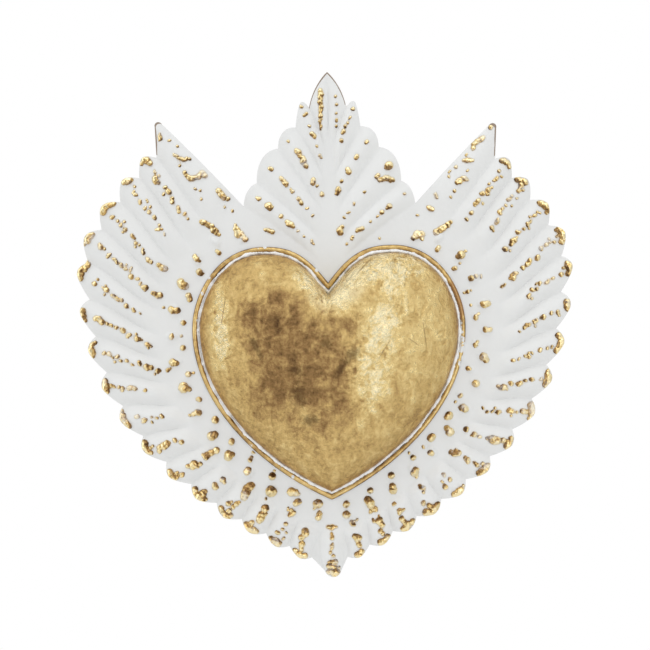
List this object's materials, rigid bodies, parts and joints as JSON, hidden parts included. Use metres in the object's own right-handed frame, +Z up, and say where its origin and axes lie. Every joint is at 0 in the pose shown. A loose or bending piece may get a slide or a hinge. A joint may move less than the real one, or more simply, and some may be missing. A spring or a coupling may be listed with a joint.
{
  "type": "metal ex-voto wall ornament",
  "caption": "Winged, rayed sacred heart in embossed sheet metal: scalloped wings and flame leaf round a domed gilt heart, with a hanging ring behind.",
  "frame": {"origin": "centre of the hanging ring's pivot bar, behind the plate, where the wall hook's load comes in", "axes": "-Y out of the front, +Z up to the flame leaf's tip, +X to the right as seen from the front"},
  "size_m": [0.2929, 0.0282, 0.2986],
  "materials": {
    "white_paint": "rubbed matt paint",
    "gilding": "aged gold leaf",
    "hanger_metal": "dull"
  },
  "bodies": {
    "plate": {"ray_plate": "white_paint", "heart_shell": "gilding", "heart_bead": "gilding", "hanger_strap": "hanger_metal"},
    "ring": {"hanging_ring": "hanger_metal"}
  },
  "joints": [
    {"name": "ring_swing", "type": "hinge", "parent": "plate", "child": "ring", "pos_m": [0, 0, 0], "axis": [1, 0, 0], "range_deg": [0, 180]}
  ]
}
